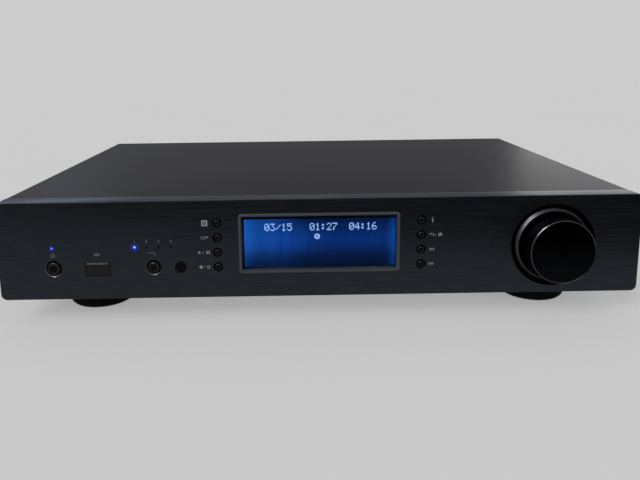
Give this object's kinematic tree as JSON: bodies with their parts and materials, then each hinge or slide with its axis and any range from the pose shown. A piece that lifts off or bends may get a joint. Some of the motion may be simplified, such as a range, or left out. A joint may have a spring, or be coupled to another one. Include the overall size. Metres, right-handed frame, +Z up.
{
  "type": "network music streamer",
  "caption": "Full-width black audio streamer: aluminium front with blue display, push-and-turn knob, keys, sheet-steel case on round feet, rear sockets and power supply inside.",
  "frame": {"origin": "on the standing surface, under the middle of the overall box", "axes": "+X to the right seen from the front, +Y from the front panel to the rear, +Z up"},
  "size_m": [0.43, 0.306, 0.085],
  "materials": {
    "panel_black": "brushed, black anodised",
    "bezel_grey": "satin dark grey",
    "clear_window": "polished",
    "display_blue": "backlit blue",
    "black_sheet": "satin black",
    "cover_black": "fine satin powder coat",
    "knob_black": "gloss black anodised, turned face",
    "ring_silver": "turned and polished",
    "button_black": "satin black anodised",
    "light_blue": "lit clear blue",
    "light_clear": "frosted, unlit",
    "remote_dark": "dark red, polished",
    "dust_black": "moulded satin black",
    "circuit_board": "green solder mask",
    "part_black": "moulded black",
    "part_pale": "moulded ivory",
    "can_metal": "sleeved cans",
    "zinc_steel": "zinc plated",
    "bright_metal": "nickel plated",
    "gold_metal": "gold plated",
    "foot_black": "moulded satin black",
    "pad_rubber": "matte",
    "screw_black": "black plated",
    "winding": "taped toroidal winding",
    "ribbon_grey": "insulated flat cable",
    "mains_black": "moulded black"
  },
  "bodies": {
    "chassis": {"front_panel": "panel_black", "display_bezel": "bezel_grey", "display_window": "clear_window", "lcd_frame": "black_sheet", "lcd_panel": "display_blue", "lcd_board": "circuit_board", "encoder_body": "zinc_steel", "encoder_nut": "zinc_steel", "lit_light_pipes": "light_blue", "unlit_light_pipes": "light_clear", "ir_window": "remote_dark", "key_board_parts": "part_pale", "key_boards": "circuit_board", "key_switches": "part_black", "front_usb_shell": "bright_metal", "usb_tongues": "part_pale", "front_boards": "circuit_board", "front_subframe": "zinc_steel", "chassis_tray": "zinc_steel", "rear_panel": "black_sheet", "top_cover": "cover_black", "feet": "foot_black", "foot_pads": "pad_rubber", "foot_screws": "zinc_steel", "cover_screws": "screw_black", "rear_screws": "screw_black", "frame_screws": "zinc_steel", "main_board": "circuit_board", "board_screws": "zinc_steel", "board_components": "part_black", "board_capacitors": "can_metal", "network_module": "bright_metal", "transformer": "winding", "transformer_clamp": "zinc_steel", "power_board": "circuit_board", "wiring": "ribbon_grey", "mains_inlet": "mains_black", "socket_pins": "gold_metal", "mains_switch_frame": "mains_black", "phono_barrels": "gold_metal", "phono_inserts": "part_black", "balanced_sockets": "bright_metal", "data_sockets": "bright_metal", "optical_sockets": "part_black"},
    "standby_button": {"standby_button": "button_black"},
    "filter_button": {"filter_button": "button_black"},
    "left_key_1": {"left_key_1": "button_black"},
    "left_key_2": {"left_key_2": "button_black"},
    "left_key_3": {"left_key_3": "button_black"},
    "left_key_4": {"left_key_4": "button_black"},
    "right_key_1": {"right_key_1": "button_black"},
    "right_key_2": {"right_key_2": "button_black"},
    "right_key_3": {"right_key_3": "button_black"},
    "right_key_4": {"right_key_4": "button_black"},
    "encoder_rotor": {"encoder_rotor": "part_pale"},
    "control_knob": {"control_knob": "knob_black", "knob_ring": "ring_silver", "encoder_shaft": "zinc_steel"},
    "usb_dust_cover": {"usb_dust_cover": "dust_black"},
    "mains_rocker": {"mains_rocker": "mains_black"}
  },
  "joints": [
    {"name": "knob_turn", "type": "hinge", "parent": "chassis", "child": "encoder_rotor", "pos_m": [0.1566, -0.1395, 0.0507], "axis": [0, 1, 0], "continuous": true},
    {"name": "knob_press", "type": "slide", "parent": "encoder_rotor", "child": "control_knob", "axis": [0, 1, 0], "range_m": [0, 0.0005], "stiffness_N_per_m": 4000, "springref_m": -0.0005},
    {"name": "standby_button_press", "type": "slide", "parent": "chassis", "child": "standby_button", "axis": [0, 1, 0], "range_m": [0, 0.0006], "stiffness_N_per_m": 1000, "springref_m": -0.0006},
    {"name": "filter_button_press", "type": "slide", "parent": "chassis", "child": "filter_button", "axis": [0, 1, 0], "range_m": [0, 0.0006], "stiffness_N_per_m": 1000, "springref_m": -0.0006},
    {"name": "left_key_1_press", "type": "slide", "parent": "chassis", "child": "left_key_1", "axis": [0, 1, 0], "range_m": [0, 0.0006], "stiffness_N_per_m": 1000, "springref_m": -0.0006},
    {"name": "left_key_2_press", "type": "slide", "parent": "chassis", "child": "left_key_2", "axis": [0, 1, 0], "range_m": [0, 0.0006], "stiffness_N_per_m": 1000, "springref_m": -0.0006},
    {"name": "left_key_3_press", "type": "slide", "parent": "chassis", "child": "left_key_3", "axis": [0, 1, 0], "range_m": [0, 0.0006], "stiffness_N_per_m": 1000, "springref_m": -0.0006},
    {"name": "left_key_4_press", "type": "slide", "parent": "chassis", "child": "left_key_4", "axis": [0, 1, 0], "range_m": [0, 0.0006], "stiffness_N_per_m": 1000, "springref_m": -0.0006},
    {"name": "right_key_1_press", "type": "slide", "parent": "chassis", "child": "right_key_1", "axis": [0, 1, 0], "range_m": [0, 0.0006], "stiffness_N_per_m": 1000, "springref_m": -0.0006},
    {"name": "right_key_2_press", "type": "slide", "parent": "chassis", "child": "right_key_2", "axis": [0, 1, 0], "range_m": [0, 0.0006], "stiffness_N_per_m": 1000, "springref_m": -0.0006},
    {"name": "right_key_3_press", "type": "slide", "parent": "chassis", "child": "right_key_3", "axis": [0, 1, 0], "range_m": [0, 0.0006], "stiffness_N_per_m": 1000, "springref_m": -0.0006},
    {"name": "right_key_4_press", "type": "slide", "parent": "chassis", "child": "right_key_4", "axis": [0, 1, 0], "range_m": [0, 0.0006], "stiffness_N_per_m": 1000, "springref_m": -0.0006},
    {"name": "dust_cover_pull", "type": "slide", "parent": "chassis", "child": "usb_dust_cover", "axis": [0, -1, 0], "range_m": [0, 0.012]},
    {"name": "mains_rocker_tilt", "type": "hinge", "parent": "chassis", "child": "mains_rocker", "pos_m": [-0.146, 0.1406, 0.0473], "axis": [-1, 0, 0], "range_deg": [0, 20]}
  ]
}
